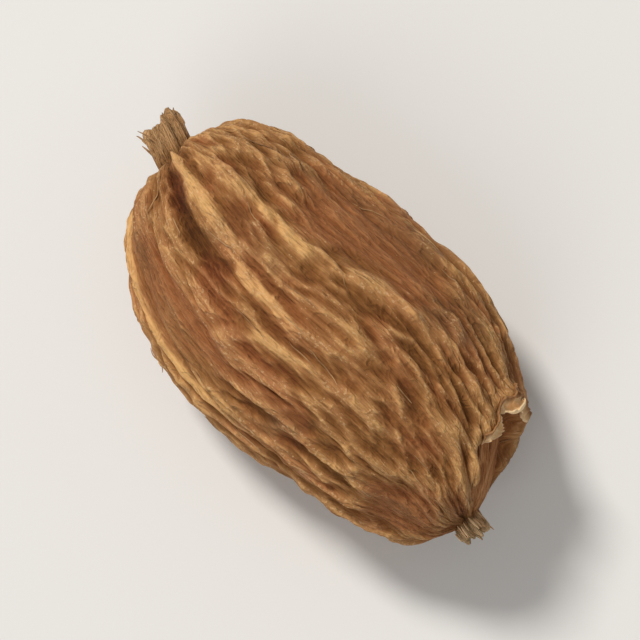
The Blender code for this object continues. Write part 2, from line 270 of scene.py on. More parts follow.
# The values that a range starts and ends at, and what they become where that isn't 0 and 1
LEVEL_RANGE = (0.155, 1.135)
RED_RANGE = (0.47, 0.62)
SMUDGE_RANGE = (0.54, 0.70)
STALK_RANGE = (0.0, 0.5, 0.0, 0.85)
CALYX_RANGE = (0.0, 0.35, 0.0, 0.9)
DUST_RANGE = (0.78, 0.86, 0.0, 0.5)
ROUGHNESS_RANGE = (0.2, 0.9, 0.95, 0.66)
FLAP_RANGE = (0.06, 0.28)

# Ramps of colour, as places from 0 to 1 and the colours there
# TAN and RED run down to near black at their low ends: painted shade in the deepest hollows.
TAN = ((0.0, (0.045, 0.012, 0.002)), (0.25, (0.150, 0.053, 0.011)), (0.50, (0.290, 0.124, 0.035)),
       (0.75, (0.43, 0.205, 0.070)), (1.0, (0.74, 0.42, 0.155)))
RED = ((0.0, (0.050, 0.011, 0.003)), (0.25, (0.17, 0.047, 0.012)), (0.50, (0.32, 0.115, 0.036)),
       (0.78, (0.46, 0.195, 0.070)), (1.0, (0.72, 0.37, 0.14)))
INNER = ((0.32, (0.22, 0.075, 0.025)), (0.50, (0.55, 0.230, 0.080)), (0.64, (0.76, 0.395, 0.165)))
STALK = ((0.3, (0.42, 0.195, 0.068)), (0.68, (0.86, 0.55, 0.27)))
CALYX = ((0.3, (0.58, 0.34, 0.15)), (0.68, (0.94, 0.68, 0.39)))
SHADE = ((0.32, (0.52, 0.45, 0.38)), (0.60, (1.0, 1.0, 1.0)))
FLAP_TORN = ((0.42, (0.50, 0.265, 0.105)), (0.58, (0.82, 0.525, 0.255)), (0.82, (0.94, 0.71, 0.42)))
FLAP_SKIN = ((0.4, (0.15, 0.058, 0.014)), (0.8, (0.43, 0.205, 0.070)))
FIBRE_TONES = ((0.35, (0.24, 0.11, 0.036)), (0.6, (0.52, 0.31, 0.135)))
PALE_FIBRE_TONES = ((0.35, (0.50, 0.28, 0.12)), (0.6, (0.86, 0.59, 0.33)))

# The rest of the looks
DULL, DULL_SHARE = (0.14, 0.088, 0.036, 1.0), 0.45
DUST = (0.72, 0.47, 0.24, 1.0)
SHADE_SHARE = 0.6
HUSK_SPECULAR, FLAP_ROUGHNESS, FIBRE_ROUGHNESS = 0.25, 0.75, 0.7
COARSE_BUMP, FINE_BUMP, NET_BUMP, FLAP_BUMP = (0.7, 0.16), (0.6, 0.06), (0.7, 0.12), (0.7, 0.06)
FLAP_PATTERNS = {
    "fibres": Pattern(along=0.5, scale=4.5, detail=5.0, roughness=0.7, distortion=0.3),
    "blotches": Pattern(along=1.0, scale=1.3, detail=3.0, roughness=0.6, distortion=0.0),
}
FIBRE_PATTERN = Pattern(along=1.0, scale=900.0, detail=2.0, roughness=0.5, distortion=0.0)

# The floor, the lamps and the camera
FLOOR_SIZE = 6.0
FLOOR_COLOUR, FLOOR_ROUGHNESS = (0.80, 0.79, 0.77, 1.0), 0.9
VIEW_AZIMUTH = math.radians(48.8)  # the pod's length runs down to the right in the photograph
VIEW_ELEVATION = math.radians(80)
LENS = 110.0
SENSOR = 36.0
CLIP = (0.01, 5.0)
FRAME_WIDTH = 0.034
KEY = {"toward": (0.62, -0.55, 0.95), "distance": 1.2, "size": 0.30, "power": 11.2,
       "colour": (1.0, 0.97, 0.93)}  # toward: shares of the picture's up, its right and straight up
FILL = {"toward": (-0.8, -0.45, 0.7), "distance": 1.4, "size": 1.0, "power": 5.4,
        "colour": (0.95, 0.97, 1.0)}
ROOM_COLOUR, ROOM_STRENGTH = (1.0, 0.97, 0.93, 1.0), 0.29


def corner_gradients(corners, seed):
    """A unit vector for each whole-numbered lattice corner, always the same for one seed."""
    mixed = corners @ np.array(HASH_FACTORS, np.int64) + seed * HASH_SEED_FACTOR
    for shift, factor in HASH_ROUNDS:
        mixed = (mixed ^ (mixed >> shift)) * factor
    mixed = mixed ^ (mixed >> HASH_LAST_SHIFT)
    height = (mixed & HASH_BITS) / (HASH_BITS // 2) - 1.0
    turn = ((mixed >> HASH_TURN_SHIFT) & HASH_BITS) / HASH_BITS * math.tau
    flat = np.sqrt(np.clip(1.0 - height**2, 0.0, 1.0))
    return np.stack([flat * np.cos(turn), flat * np.sin(turn), height], axis=-1)


def smooth_noise(places, seed):
    """Gradient noise, about -1 to 1, that changes over one unit of the places' coordinates."""
    cell = np.floor(places).astype(np.int64)
    inside = places - cell
    ease = inside**3 * (inside * (inside * 6 - 15) + 10)
    total = np.zeros(places.shape[:-1])
    for corner in itertools.product((0, 1), repeat=3):
        slope = ((inside - corner) * corner_gradients(cell + np.array(corner), seed)).sum(axis=-1)
        total += np.where(corner, ease, 1 - ease).prod(axis=-1) * slope
    return total * NOISE_GAIN


def smooth_step(low, high, value):
    share = np.clip((value - low) / (high - low), 0.0, 1.0)
    return share * share * (3 - 2 * share)


def turn_between(angle, other):
    """The turn from one angle to another, the short way round."""
    return (angle - other + math.pi) % math.tau - math.pi


def wound(angle, along, size, stretch):
    """Coordinates that wrap round the pod with no seam, with cells stretched along it."""
    places = [along / stretch, GRAIN_RADIUS * np.cos(angle), GRAIN_RADIUS * np.sin(angle)]
    return np.stack(places, axis=-1) / size


def raised(layer, angle, along):
    """The height of one layer: crests where its noise crosses zero, with hollows between."""
    noise = smooth_noise(wound(angle, along, layer.size, layer.stretch), layer.seed)
    return layer.height / (1 + (layer.narrowness * noise) ** 2)


def crest_share(crest, angle, along, spread=1.0):
    """1 on the line of a crest, falling to 0 beside it and past its ends."""
    across = turn_between(angle, crest.angle) * GRAIN_RADIUS / (crest.width * spread)
    run_in = CREST_RUN_IN * (crest.end - crest.start)
    fade_in = smooth_step(crest.start - run_in, crest.start + run_in, along)
    fade_out = 1 - smooth_step(crest.end - 2 * run_in, crest.end + run_in, along)
    return np.exp(-(across**2)) * fade_in * fade_out


def patch_reach(patch, angle, along):
    """0 in the middle of a patch, 1 at its edge, and more outside it."""
    turn = turn_between(angle, patch.angle) / patch.turn
    return np.hypot((along - patch.along) / patch.length, turn)


def patch_share(patch, angle, along):
    return 1 - smooth_step(PATCH_CORE, 1.0, patch_reach(patch, angle, along))


def smooth_share(angle, along):
    """How far the skin is smooth: 1 in the middle of a smooth patch."""
    return sum(patch_share(patch, angle, along) for patch in SMOOTH_PATCHES)


def wave_reach(angle, along):
    """How far round the pod the ribs wander to one side, as an arc of the grain's radius."""
    return WAVE_REACH * smooth_noise(wound(angle, along, WAVE_SIZE, WAVE_STRETCH), WAVE_SEED)


def torn_reach(angle, along):
    """0 in the middle of the torn patch, and 1 at its uneven edge."""
    wander = smooth_noise(wound(angle, along, TORN_WAVE_SIZE, 1.0), TORN_SEED)
    return patch_reach(TORN, angle, along) + TORN_WAVE * wander


def torn_shares(angle, along):
    """The share of the torn patch, and of the curled lip just outside its edge."""
    reach = torn_reach(angle, along)
    stalk_side = smooth_step(0.0, TORN.length, TORN.along - along)
    lip = np.exp(-(((reach - LIP_PLACE) / LIP_WIDTH) ** 2)) * stalk_side
    return 1 - smooth_step(1 - TORN_EDGE, 1.0, reach), lip


def relief(angle, along):
    """How far the skin stands out from the smooth body, in millimetres."""
    bent = angle + wave_reach(angle, along) / GRAIN_RADIUS
    lump = smooth_noise(wound(angle, along, LUMP_SIZE, LUMP_STRETCH), LUMP_SEED)
    share = smooth_noise(wound(angle, along, SHARE_SIZE, SHARE_STRETCH), SHARE_SEED)
    smooth = smooth_share(angle, along)
    knobby = patch_share(KNOB_PATCH, angle, along)
    netted = np.maximum(patch_share(NET_PATCH, angle, along), smooth_step(*NET_FADE, -share))
    rib_share = RIBS_LEAST + RIBS_MORE * smooth_step(*RIBS_FADE, share)
    rib_share *= 1 - SMOOTH_CLEARS_RIBS * smooth
    net_share = (NET_LEAST + NET_MORE * netted) * (1 - SMOOTH_CLEARS_NET * smooth) * (1 - knobby)
    height = LUMP_HEIGHT * lump + rib_share * raised(RIBS, bent, along)
    height += net_share * raised(NET, 2 * bent - angle, along)
    height += knobby * raised(KNOBS, bent, along)
    for crest in (VALLEY, *CRESTS):
        height = height * (1 - CREST_CLEARS * crest_share(crest, bent, along, CREST_ALONE))
        height += crest.height * crest_share(crest, bent, along)
    torn, lip = torn_shares(angle, along)
    under_skin = TORN_KEEPS * height - TORN_DEPTH
    return height * (1 - torn) + under_skin * torn + LIP_HEIGHT * lip * (1 - torn)


def side_outline(rows):
    """Rows of (x, radius, sway, end), evenly spaced from the stub's cut end to the hollow tip.

    The last column is how far the row lies into the stub, below 0, or into the calyx, above 0.
    """
    half = HUSK_LENGTH / 2
    theta = np.linspace(0, math.pi, OUTLINE_STEPS)
    share = (1 - np.cos(theta)) / 2
    fullness = BASE_FULLNESS + (TIP_FULLNESS - BASE_FULLNESS) * share
    husk = HUSK_WIDTH / 2 * np.sin(theta) ** fullness
    neck = STUB_RADIUS + (CALYX_RADIUS - STUB_RADIUS) * share
    radius = (husk**NECK_BLEND + neck**NECK_BLEND) ** (1 / NECK_BLEND)
    body = np.stack([-half * np.cos(theta), radius], axis=1)
    stub_end = -half - STUB_LENGTH
    stub = [(stub_end + STUB_HOLLOW, 0.0), (stub_end, STUB_RADIUS - STUB_BEVEL / 2),
            (stub_end + STUB_BEVEL, STUB_RADIUS)]
    tip = half + CALYX_LENGTH
    inner = CALYX_RADIUS - CALYX_WALL
    floor = tip - CALYX_DEPTH
    calyx = [(tip - CALYX_BEVEL, CALYX_RADIUS), (tip, CALYX_RADIUS - CALYX_WALL / 2),
             (tip - CALYX_BEVEL, inner), (floor, inner - CALYX_BEVEL), (floor, 0.0)]
    points = np.concatenate([stub, body, calyx])
    length = np.concatenate([[0], np.cumsum(np.hypot(*np.diff(points, axis=0).T))])
    x, radius = (np.interp(np.linspace(0, length[-1], rows), length, column) for column in points.T)
    end = np.where(x < 0, -smooth_step(-half, stub_end, x), smooth_step(half, tip, x))
    sway = STUB_SWAY * smooth_step(STUB_SWAY_RUN - half, stub_end - STUB_SWAY_RUN, x)
    sway += CALYX_SWAY * smooth_step(half * CALYX_SWAY_START, tip, x)
    return np.stack([x, radius, sway, end], axis=1)


def smooth_body(outline, angle):
    """The points of the body with no relief, one row for each ring."""
    x, radius, sway = (outline[:, k, None] for k in range(3))
    thickness = radius / (HUSK_WIDTH / 2)
    keels = 1 + KEEL_RISE * thickness * np.cos(KEEL_COUNT * (angle - KEEL_ANGLE))
    flatness = 1 + (HUSK_HEIGHT / HUSK_WIDTH - 1) * smooth_step(ROUND_UNTIL, FLAT_FROM, thickness)
    bend = SIDE_BEND * np.sin(math.tau * x / HUSK_LENGTH) * thickness
    across = radius * keels * np.cos(angle) + sway + bend
    up = radius * keels * flatness * np.sin(angle)
    return np.stack(np.broadcast_arrays(x, across, up), axis=-1)


def outward(points):
    """Unit normals of a grid of points whose second axis closes on itself."""
    lengthwise = np.gradient(points, axis=0)
    round_it = np.roll(points, -1, axis=1) - np.roll(points, 1, axis=1)
    normal = np.cross(round_it, lengthwise)
    return normal / np.maximum(np.linalg.norm(normal, axis=-1, keepdims=True), TINY)


def small_relief(angle, along):
    """The small wrinkles, cracks and strands that run along the husk, in millimetres."""
    ripple = smooth_noise(wound(angle, along, RIPPLE_SIZE, RIPPLE_STRETCH), RIPPLE_SEED)
    bent = angle + (wave_reach(angle, along) + RIPPLE_REACH * ripple) / GRAIN_RADIUS
    smooth = smooth_share(angle, along)
    torn, _ = torn_shares(angle, along)
    height = 0
    for layer, smooth_takes, torn_takes in FINE_LAYERS:
        left = raised(layer, bent, along) * (1 - smooth_takes * smooth)
        height = height + left * (1 - torn_takes * torn)
    return height - raised(SEEDS, angle, along) * torn


def pod_grid(rows, around, fine):
    """The finished skin in millimetres before it is set on its rest, and what is known of it."""
    outline = side_outline(rows)
    x, radius, _, end = (outline[:, k, None] for k in range(4))
    angle = np.linspace(0, math.tau, around, endpoint=False)[None, :]
    smooth = smooth_body(outline, angle)
    along = x + END_SPREAD * (HUSK_WIDTH / 2 - radius) * np.sign(x) + 0 * angle
    angle = angle + 0 * along
    fade = smooth_step(FADE_START, FADE_END, radius)
    groove = GROOVE_DEPTH * np.cos(GROOVES * angle) * smooth_step(0.0, STUB_RADIUS, radius)
    height = relief(angle, along) * fade + groove * (1 - fade)
    if fine:
        kept = FINE_ON_STALK + (1 - FINE_ON_STALK) * fade
        height = height + small_relief(angle, along) * kept * smooth_step(0.0, STUB_RADIUS, radius)
    skin = smooth + outward(smooth) * height[..., None]
    at_ends = np.sign(x) * HUSK_LENGTH + 0 * angle
    tears = smooth_noise(wound(angle, at_ends, TEAR_SIZE, 1.0), TEAR_SEED)
    ragged = np.where(end < 0, STUB_RAGGED, CALYX_RAGGED) * smooth_step(0.0, STUB_RADIUS, radius)
    skin[..., 0] += ragged * tears * np.abs(end)
    return {"skin": skin, "height": height, "angle": angle, "along": along, "end": end + 0 * angle}


def rest_shift():
    """How the model's own grid moved when it was set on its rest, and the height of its flat spot."""
    model = pod_grid(MODEL_ROWS, MODEL_AROUND, False)["skin"]
    flat_spot = model[..., 2].min() + REST_CUT
    model[..., 2] = np.maximum(model[..., 2], flat_spot)
    return np.array(CAD_LOW) / MM - model.reshape(-1, 3).min(axis=0), flat_spot


def inside_model(skin):
    """The skin drawn in a little where it stands out of the model's own box."""
    low, high = np.array(CAD_LOW) / MM, np.array(CAD_HIGH) / MM
    own_low, own_high = skin.reshape(-1, 3).min(axis=0), skin.reshape(-1, 3).max(axis=0)
    middle = (low + high) / 2
    middle[2] = low[2]
    above = np.where(skin > middle, (high - middle) / np.maximum(own_high - middle, high - middle), 1)
    below = np.where(skin < middle, (middle - low) / np.maximum(middle - own_low, TINY), 1)
    return middle + (skin - middle) * above * np.minimum(below, 1)


def blurred(values, cells):
    """Values averaged over their neighbours on the grid, whose second axis closes on itself."""
    reach = BLUR_REACH * cells
    kernel = np.exp(-0.5 * (np.arange(-reach, reach + 1) / cells) ** 2)
    kernel /= kernel.sum()
    tall = np.pad(values, ((reach, reach), (0, 0)), mode="edge")
    values = sum(w * tall[k:k + len(values)] for k, w in enumerate(kernel))
    return sum(w * np.roll(values, k - reach, axis=1) for k, w in enumerate(kernel))


def on_points(values):
    """Grid values in the order of ring_mesh's points."""
    rings = values[1:-1].reshape(-1, *values.shape[2:])
    return np.concatenate([values[:1, 0], rings, values[-1:, 0]])


def new_mesh(name, points, faces):
    """A smoothly shaded mesh from points in millimetres."""
    mesh = bpy.data.meshes.new(name)
    mesh.from_pydata((points * MM).tolist(), [], faces)
    mesh.shade_smooth()
    return mesh


def grid_faces(rows, columns, closed=False):
    """Quads between the points of a grid, whose second axis may close on itself."""
    corners = np.arange(rows * columns).reshape(rows, columns)
    beside = np.roll(corners, -1, axis=1)
    quads = np.stack([corners[:-1], beside[:-1], beside[1:], corners[1:]], axis=-1)
    return (quads if closed else quads[:, :-1]).reshape(-1, 4)


def ring_mesh(name, points):
    """A closed mesh from rings of points, whose first and last rows are the two poles."""
    rings, around = points.shape[0] - 2, points.shape[1]
    quads = grid_faces(rings, around, closed=True) + 1
    first = np.arange(around) + 1
    beside = np.roll(first, -1)
    pole, last_ring = rings * around + 1, (rings - 1) * around
    start = np.stack([np.zeros(around, int), beside, first], axis=-1)
    end = np.stack([np.full(around, pole), first + last_ring, beside + last_ring], axis=-1)
    return new_mesh(name, on_points(points), quads.tolist() + start.tolist() + end.tolist())


def put_values(mesh, name, values):
    mesh.attributes.new(name, "FLOAT", "POINT").data.foreach_set("value", np.ravel(values))


def put_vectors(mesh, name, vectors):
    mesh.attributes.new(name, "FLOAT_VECTOR", "POINT").data.foreach_set("vector", np.ravel(vectors))


def add_piece(name, mesh, material):
    """A piece of the pod with its own material, attached to the root body."""
    piece = bpy.data.objects.new(name, mesh)
    mesh.materials.append(material)
    bpy.context.scene.collection.objects.link(piece)
    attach(piece, "root")
    return piece


def husk_grid():
    """The fine grid of the husk, set where the model's own pod lies."""
    shift, flat_spot = rest_shift()
    grid = pod_grid(FINE_ROWS, FINE_AROUND, True)
    skin = grid["skin"]
    skin[..., 2] = np.maximum(skin[..., 2], flat_spot)
    grid["skin"] = inside_model(skin + shift)
    body = [blurred(grid["skin"][..., axis], NORMAL_CELLS) for axis in range(3)]
    grid["normal"] = outward(np.stack(body, axis=-1))
    return grid


def crest_light_and_valley_shade(angle, along):
    """1 on the single crests, and below 0 in the valley beside the longest one. In the colour it is
    painted highlight on the crests and the wider rim, partly their paler worn fibre, and painted shade
    in the valley.
    """
    bent = angle + wave_reach(angle, along) / GRAIN_RADIUS
    rim = crest_share(CRESTS[-1], bent, along, RIM_SPREAD)
    lines = sum(crest_share(one, bent, along) for one in CRESTS[:-1])
    return lines + rim - VALLEY_SHADE * crest_share(VALLEY, bent, along)


def build_husk(grid, material):
    height, angle, along = grid["height"], grid["angle"], grid["along"]
    # Relief above its blurred self: in the colour, paler crests, partly worn fibre, and darker hollows
    # as painted shade.
    crest = CREST_GAIN * sum((height - blurred(height, cells)) / rise for cells, rise in CREST_CELLS)
    mesh = ring_mesh("husk_skin", grid["skin"])
    torn, _ = torn_shares(angle, along)
    smooth = smooth_share(angle, along)
    crest = np.clip(crest, -1, 1) * (1 - SMOOTH_CALMS * np.minimum(smooth, 1))
    known = {"crest": (crest + 1) / 2, "torn": torn, "smooth": smooth, "line": crest_light_and_valley_shade(angle, along),
             "end": np.abs(grid["end"]), "tip": np.maximum(grid["end"], 0)}
    for name in HUSK_VALUES:
        put_values(mesh, name, on_points(known[name]))
    put_vectors(mesh, "grain", on_points(wound(angle, along, 1.0, 1.0)))
    husk = add_piece("husk_skin", mesh, material)
    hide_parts("pod")


def kept_inside(points):
    """Points pulled back to the model's own box where they would leave it."""
    return np.clip(points, np.array(CAD_LOW) / MM, np.array(CAD_HIGH) / MM)


def sampled(values, rows, columns):
    """Grid values between its points, at fractional rows and columns."""
    row, column = np.floor(rows).astype(int), np.floor(columns).astype(int)
    beyond, beside = (rows - row)[:, None], (columns - column)[:, None]
    near, far = values[row], values[row + 1]
    pick = np.arange(len(rows))
    here, there = column % FINE_AROUND, (column + 1) % FINE_AROUND
    first = near[pick, here] * (1 - beside) + near[pick, there] * beside
    second = far[pick, here] * (1 - beside) + far[pick, there] * beside
    return first * (1 - beyond) + second * beyond


def torn_edge_rows(grid, turns):
    """The fractional row on the stalk side of the torn patch where the skin ends, at each angle."""
    angle, along = np.broadcast_arrays(turns[None, :], grid["along"][:, :1])
    reach = torn_reach(angle, along)
    row = np.argmax(reach < 1, axis=0)
    pick = np.arange(len(turns))
    before, after = reach[row - 1, pick], reach[row, pick]
    return row - 1 + (before - 1) / (before - after)


def eased(values, times):
    """Values along a line, each averaged with its neighbours."""
    values = values.copy()
    for _ in range(times):
        values[1:-1] = (values[:-2] + 2 * values[1:-1] + values[2:]) / 4
    return values


def unit(vectors):
    return vectors / np.linalg.norm(vectors, axis=1, keepdims=True)


def flap_base(grid, turns):
    """Where the flap grows from the skin, and the ways out of the skin and over the torn patch."""
    columns = turns / math.tau * FINE_AROUND
    rows = eased(torn_edge_rows(grid, turns), FLAP_EDGE_EASES)
    root = eased(sampled(grid["skin"], rows, columns), FLAP_ROOT_EASES)
    up = eased(sampled(grid["normal"], rows, columns), FLAP_ROOT_EASES)
    beyond = sampled(grid["skin"], rows + FLAP_AHEAD_ROWS, columns)
    before = sampled(grid["skin"], rows - FLAP_AHEAD_ROWS, columns)
    ahead = eased(beyond - before, FLAP_AHEAD_EASES)
    ahead -= (ahead * up).sum(axis=1, keepdims=True) * up
    return root, up, unit(ahead)


def flap_rings(grid, turns):
    """The flap's points: a row for each step over its upper side, and then back under it."""
    root, up, ahead = flap_base(grid, turns)
    tears = smooth_noise(wound(turns, 0 * turns, FLAP_TEAR_SIZE, 1.0), FLAP_SEED)
    teeth = smooth_noise(wound(turns, 0 * turns, FLAP_TOOTH_SIZE, 1.0), FLAP_TOOTH_SEED)
    edge = np.sqrt(np.sin(math.pi * np.linspace(*FLAP_ENDS, FLAP_COLUMNS)))
    share = 1 - FLAP_RAGGED * (FLAP_TORN_OFF + tears) - FLAP_TEETH * np.abs(teeth)
    share = np.clip(share, FLAP_LEAST, 1) * edge
    size = FLAP_CURL * (FLAP_CURL_AT_ENDS + (1 - FLAP_CURL_AT_ENDS) * edge)
    size *= 1 + FLAP_CURL_VARIES * np.roll(tears, FLAP_CURL_SHIFT)
    layers = {-1: [], 1: []}
    for side, step in itertools.product(layers, range(FLAP_STEPS)):
        along_it = step / (FLAP_STEPS - 1)
        bow = max(along_it - FLAP_FLAT, 0) / (1 - FLAP_FLAT) * FLAP_TURN * share
        back = FLAP_ROOT * max(FLAP_FLAT - along_it, 0) / FLAP_FLAT
        thickness = FLAP_THICKNESS * (1 - FLAP_THINS * along_it**2)
        folds = wound(turns, 0 * turns + FLAP_CRUMPLE_RUN * along_it, FLAP_CRUMPLE_SIZE, 1.0)
        crumple = smooth_noise(folds, FLAP_CRUMPLE_SEED)
        curl = size * (1 - FLAP_TIGHTENS * bow / FLAP_TURN) + FLAP_CRUMPLE * crumple * along_it
        curl += side * thickness / 2
        run = curl * np.sin(bow) - back
        rise = size + thickness / 2 - curl * np.cos(bow)
        layers[side].append(root + ahead * run[:, None] + up * rise[:, None])
    return np.stack(layers[-1] + layers[1][::-1])


def build_flap(grid, material):
    """The skin's torn edge, curled outward and back over itself along the torn patch."""
    turns = np.linspace(FLAP_START, FLAP_END, FLAP_COLUMNS)
    rings = flap_rings(grid, turns)
    faces = grid_faces(len(rings), FLAP_COLUMNS).tolist()
    first = np.arange(FLAP_COLUMNS)
    last = first + (len(rings) - 1) * FLAP_COLUMNS
    faces += np.stack([last[:-1], last[1:], first[1:], first[:-1]], axis=-1).tolist()
    for k, order in ((0, 1), (FLAP_COLUMNS - 1, -1)):
        faces.append([row * FLAP_COLUMNS + k for row in range(len(rings))][::order])
    mesh = new_mesh("torn_flap", kept_inside(rings.reshape(-1, 3)), faces)
    reach = np.concatenate([np.linspace(0, 1, FLAP_STEPS), np.linspace(1, 0, FLAP_STEPS)])
    reach = np.repeat(reach, FLAP_COLUMNS)
    grain = np.tile(wound(turns, 0 * turns, 1.0, 1.0), (len(rings), 1))
    grain[:, 0] += reach * FLAP_GRAIN_RUN
    put_vectors(mesh, "grain", grain)
    put_values(mesh, "reach", reach)
    add_piece("torn_flap", mesh, material)


def tube(path, radii):
    """Points and faces of one thin fibre, closed at both ends."""
    ahead = unit(np.gradient(path, axis=0))
    aside = unit(np.cross(ahead, FIBRE_ASIDE))
    above = np.cross(ahead, aside)
    turn = np.linspace(0, math.tau, FIBRE_SIDES, endpoint=False)
    ring = aside[:, None] * np.cos(turn)[:, None] + above[:, None] * np.sin(turn)[:, None]
    points = (path[:, None] + ring * radii[:, None, None]).reshape(-1, 3)
    faces = grid_faces(len(path), FIBRE_SIDES, closed=True).tolist()
    last = (len(path) - 1) * FIBRE_SIDES
    caps = [list(range(FIBRE_SIDES)), [last + k for k in reversed(range(FIBRE_SIDES))]]
    return points, faces, caps


def build_fibres(name, paths, material):
    """One piece of many thin fibres, each a path of points and the radius at its middle."""
    points, faces = [], []
    for path, radius in paths:
        shape = np.linspace(0, 1, len(path))
        radii = radius * np.sqrt(np.clip(4 * shape * (1 - shape), FIBRE_TAPER, 1))
        new_points, quads, caps = tube(path, radii)
        start = sum(len(some) for some in points)
        faces += [[corner + start for corner in face] for face in quads + caps]
        points.append(kept_inside(new_points))
    add_piece(name, new_mesh(name, np.concatenate(points), faces), material)


def husk_fibre_paths(grid, draw):
    """Fibres that have come loose along the husk's crests, each lifting at one end."""
    skin, normal = grid["skin"], grid["normal"]
    crest = grid["height"] - blurred(grid["height"], FIBRE_CREST_CELLS)
    step = np.linalg.norm(skin[1:, 0] - skin[:-1, 0], axis=-1).mean()
    last_row = FINE_ROWS - 1 - POLE_ROWS
    paths = []
    while len(paths) < FIBRE_COUNT:
        row, column = draw.randrange(FIBRE_ENDS, FINE_ROWS - FIBRE_ENDS), draw.randrange(FINE_AROUND)
        if crest[row, column] < FIBRE_CREST or skin[row, column, 2] < FIBRE_LOWEST:
            continue
        length = draw.uniform(*FIBRE_LENGTH)
        heading = draw.choice((-1, 1))
        drift = draw.gauss(0, FIBRE_DRIFT)
        lift = draw.uniform(*FIBRE_LIFT) * draw.random()
        path = []
        for k in range(FIBRE_STEPS):
            share = k / (FIBRE_STEPS - 1)
            at_row = int(np.clip(row + heading * share * length / step, POLE_ROWS, last_row))
            at_column = int(column + drift * share * length / CELL * (1 + share)) % FINE_AROUND
            rise = FIBRE_CLEAR + lift * share**FIBRE_LIFT_POWER
            path.append(skin[at_row, at_column] + normal[at_row, at_column] * rise)
        paths.append((eased(np.array(path), FIBRE_EASES), draw.uniform(*FIBRE_RADIUS)))
    return paths


def outer_rows(end, at_tip):
    """The rows of the grid on the outside of the calyx, or of the stub near its torn end."""
    rows = range(POLE_ROWS + 1, FINE_ROWS - 1 - POLE_ROWS)
    if at_tip:
        rows = [row for row in rows if end[row] > CALYX_FROM]
        return rows[:max(1, len(rows) // CALYX_PARTS)]
    rows = [row for row in rows if end[row] < STUB_FROM]
    return rows[len(rows) // STUB_PARTS:]


def splayed_paths(grid, draw, at_tip):
    """Fibres that stand out round the stub's torn end, or round the ragged calyx."""
    skin, normal = grid["skin"], grid["normal"]
    outer = outer_rows(grid["end"][:, 0], at_tip)
    paths = []
    for k in range(SPLAY_COUNT):
        row = draw.choice(outer)
        column = int((k + draw.random()) / SPLAY_COUNT * FINE_AROUND) % FINE_AROUND
        away = normal[row, column]
        ahead = Vector((1 if at_tip else -1, 0, 0))
        length = draw.uniform(*SPLAY_LENGTH)
        spread = draw.uniform(*SPLAY_SPREAD) * (CALYX_SPLAY if at_tip else 1)
        aside = np.cross(away, ahead) * draw.uniform(-SPLAY_BEND, SPLAY_BEND)
        path = [skin[row, column] + away * (FIBRE_CLEAR + spread * length * share**2)
                + (np.array(ahead) + aside) * length * (share - SPLAY_ROOT)
                for share in np.linspace(0, 1, SPLAY_STEPS)]
        paths.append((np.array(path), draw.uniform(*SPLAY_RADIUS)))
    return paths


class Nodes:
    """A short way to write a material's nodes."""

    MIX_FIRST, MIX_SECOND, MIX_RESULT = 6, 7, 2  # the Mix node's sockets for colours

    def __init__(self, name):
        self.material = bpy.data.materials.new(name)
        self.material.use_nodes = True
        self.tree = self.material.node_tree
        self.shader = self.tree.nodes["Principled BSDF"]

    def feed(self, socket, value):
        if isinstance(value, bpy.types.NodeSocket):
            self.tree.links.new(value, socket)
        else:
            socket.default_value = value

    def add(self, kind, settings, *inputs):
        node = self.tree.nodes.new(kind)
        for key, value in settings.items():
            setattr(node, key, value)
        for place, value in inputs:
            self.feed(node.inputs[place], value)
        return node

    def value(self, name):
        return self.add("ShaderNodeAttribute", {"attribute_name": name}).outputs["Fac"]

    def vector(self, name):
        return self.add("ShaderNodeAttribute", {"attribute_name": name}).outputs["Vector"]

    def sum(self, seen, shares):
        """The sum of the named sockets, each times its own share."""
        total = 0.0
        for name, share in shares.items():
            scaled = self.add("ShaderNodeMath", {"operation": "MULTIPLY_ADD"},
                              (0, seen[name]), (1, share), (2, total))
            total = scaled.outputs[0]
        return total

    def stretched(self, vector, along):
        """Coordinates whose pattern is drawn out along the pod where along is below 1."""
        node = self.add("ShaderNodeVectorMath", {"operation": "MULTIPLY"},
                        (0, vector), (1, (along, 1.0, 1.0)))
        return node.outputs[0]

    def noise(self, vector, pattern, output="Fac"):
        node = self.add("ShaderNodeTexNoise", {}, ("Vector", self.stretched(vector, pattern.along)),
                        ("Scale", pattern.scale), ("Detail", pattern.detail),
                        ("Roughness", pattern.roughness), ("Distortion", pattern.distortion))
        return node.outputs[output]

    def net(self, grain, along, scale):
        """1 on the lines of a wavy net whose meshes are long, and 0 inside them."""
        bend = self.noise(grain, VEIN_BEND, "Color")
        bent = self.add("ShaderNodeVectorMath", {"operation": "MULTIPLY_ADD"},
                        (0, bend), (1, (VEIN_BEND_REACH,) * 3), (2, grain))
        cells = self.add("ShaderNodeTexVoronoi", {"feature": "DISTANCE_TO_EDGE"},
                         ("Vector", self.stretched(bent.outputs[0], along)), ("Scale", scale))
        return self.spread(cells.outputs["Distance"], 0.0, VEIN_WIDTH, 1.0, 0.0)

    def ramp(self, factor, stops):
        node = self.add("ShaderNodeValToRGB", {}, ("Fac", factor))
        band = node.color_ramp
        while len(band.elements) < len(stops):
            band.elements.new(0.5)  # its place is set below
        for element, (place, colour) in zip(band.elements, stops):
            element.position = place
            element.color = (*colour, 1.0)
        return node.outputs["Color"]

    def mix(self, factor, first, second, kind="MIX"):
        node = self.add("ShaderNodeMix", {"data_type": "RGBA", "blend_type": kind},
                        (0, factor), (self.MIX_FIRST, first), (self.MIX_SECOND, second))
        return node.outputs[self.MIX_RESULT]

    def spread(self, value, low, high, to_low=0.0, to_high=1.0):
        node = self.add("ShaderNodeMapRange", {},
                        (0, value), (1, low), (2, high), (3, to_low), (4, to_high))
        return node.outputs[0]

    def bump(self, height, strength, depth, *under):
        """A bump whose depth is in millimetres, on its own or over another one."""
        node = self.add("ShaderNodeBump", {}, ("Strength", strength), ("Distance", depth * MM),
                        ("Height", height), *(("Normal", normal) for normal in under))
        return node.outputs["Normal"]


